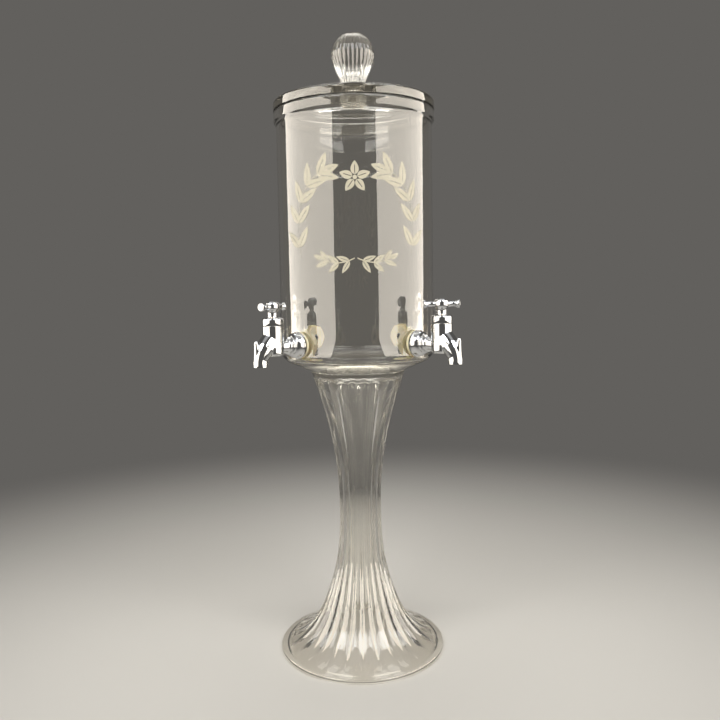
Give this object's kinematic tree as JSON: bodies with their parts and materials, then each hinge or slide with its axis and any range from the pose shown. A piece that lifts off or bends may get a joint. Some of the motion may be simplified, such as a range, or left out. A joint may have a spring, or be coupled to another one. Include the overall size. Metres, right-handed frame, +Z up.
{
  "type": "absinthe fountain",
  "caption": "Clear glass drinks fountain: lidded cylindrical reservoir on a ribbed trumpet pedestal, with small chrome screw-down taps round its base.",
  "frame": {"origin": "centre of the foot's underside, on the table", "axes": "+Z up along the fountain's axis; -Y is the front, midway between two of the taps; +X to the viewer's right"},
  "size_m": [0.159, 0.159, 0.5249],
  "materials": {
    "glass": "clear polished glass",
    "chrome": "bright chrome plate",
    "silicone": "cream silicone, satin",
    "nylon": "cream moulded nylon",
    "brass": "turned brass",
    "rubber": "black rubber"
  },
  "bodies": {
    "fountain": {"pedestal": "glass", "bowl": "glass", "tap_body_front_left": "chrome", "outer_washer_front_left": "silicone", "inner_washer_front_left": "silicone", "lock_nut_front_left": "nylon", "bonnet_front_left": "chrome", "packing_front_left": "rubber", "tap_body_front_right": "chrome", "outer_washer_front_right": "silicone", "inner_washer_front_right": "silicone", "lock_nut_front_right": "nylon", "bonnet_front_right": "chrome", "packing_front_right": "rubber", "tap_body_back_right": "chrome", "outer_washer_back_right": "silicone", "inner_washer_back_right": "silicone", "lock_nut_back_right": "nylon", "bonnet_back_right": "chrome", "packing_back_right": "rubber", "tap_body_back_left": "chrome", "outer_washer_back_left": "silicone", "inner_washer_back_left": "silicone", "lock_nut_back_left": "nylon", "bonnet_back_left": "chrome", "packing_back_left": "rubber"},
    "lid": {"lid": "glass", "lid_knob": "glass"},
    "front_left_valve": {"jumper_front_left": "brass", "seat_washer_front_left": "rubber"},
    "front_left_handle": {"spindle_front_left": "brass", "handle_front_left": "chrome", "handle_screw_front_left": "chrome"},
    "front_right_valve": {"jumper_front_right": "brass", "seat_washer_front_right": "rubber"},
    "front_right_handle": {"spindle_front_right": "brass", "handle_front_right": "chrome", "handle_screw_front_right": "chrome"},
    "back_right_valve": {"jumper_back_right": "brass", "seat_washer_back_right": "rubber"},
    "back_right_handle": {"spindle_back_right": "brass", "handle_back_right": "chrome", "handle_screw_back_right": "chrome"},
    "back_left_valve": {"jumper_back_left": "brass", "seat_washer_back_left": "rubber"},
    "back_left_handle": {"spindle_back_left": "brass", "handle_back_left": "chrome", "handle_screw_back_left": "chrome"}
  },
  "joints": [
    {"name": "lid_lift", "type": "slide", "parent": "fountain", "child": "lid", "axis": [0, 0, 1], "range_m": [0, 0.12]},
    {"name": "front_left_valve_rise", "type": "slide", "parent": "fountain", "child": "front_left_valve", "axis": [0, 0, 1], "range_m": [0, 0.0015]},
    {"name": "front_left_handle_turn", "type": "hinge", "parent": "front_left_valve", "child": "front_left_handle", "pos_m": [-0.06491, -0.06491, 0.302], "axis": [0, 0, 1], "range_deg": [0, 270]},
    {"name": "front_right_valve_rise", "type": "slide", "parent": "fountain", "child": "front_right_valve", "axis": [0, 0, 1], "range_m": [0, 0.0015]},
    {"name": "front_right_handle_turn", "type": "hinge", "parent": "front_right_valve", "child": "front_right_handle", "pos_m": [0.06491, -0.06491, 0.302], "axis": [0, 0, 1], "range_deg": [0, 270]},
    {"name": "back_right_valve_rise", "type": "slide", "parent": "fountain", "child": "back_right_valve", "axis": [0, 0, 1], "range_m": [0, 0.0015]},
    {"name": "back_right_handle_turn", "type": "hinge", "parent": "back_right_valve", "child": "back_right_handle", "pos_m": [0.06491, 0.06491, 0.302], "axis": [0, 0, 1], "range_deg": [0, 270]},
    {"name": "back_left_valve_rise", "type": "slide", "parent": "fountain", "child": "back_left_valve", "axis": [0, 0, 1], "range_m": [0, 0.0015]},
    {"name": "back_left_handle_turn", "type": "hinge", "parent": "back_left_valve", "child": "back_left_handle", "pos_m": [-0.06491, 0.06491, 0.302], "axis": [0, 0, 1], "range_deg": [0, 270]}
  ],
  "couplings": [
    {"joint": "front_left_valve_rise", "follows": "front_left_handle_turn", "m_per_rad": 0.000318},
    {"joint": "front_right_valve_rise", "follows": "front_right_handle_turn", "m_per_rad": 0.000318},
    {"joint": "back_right_valve_rise", "follows": "back_right_handle_turn", "m_per_rad": 0.000318},
    {"joint": "back_left_valve_rise", "follows": "back_left_handle_turn", "m_per_rad": 0.000318}
  ]
}
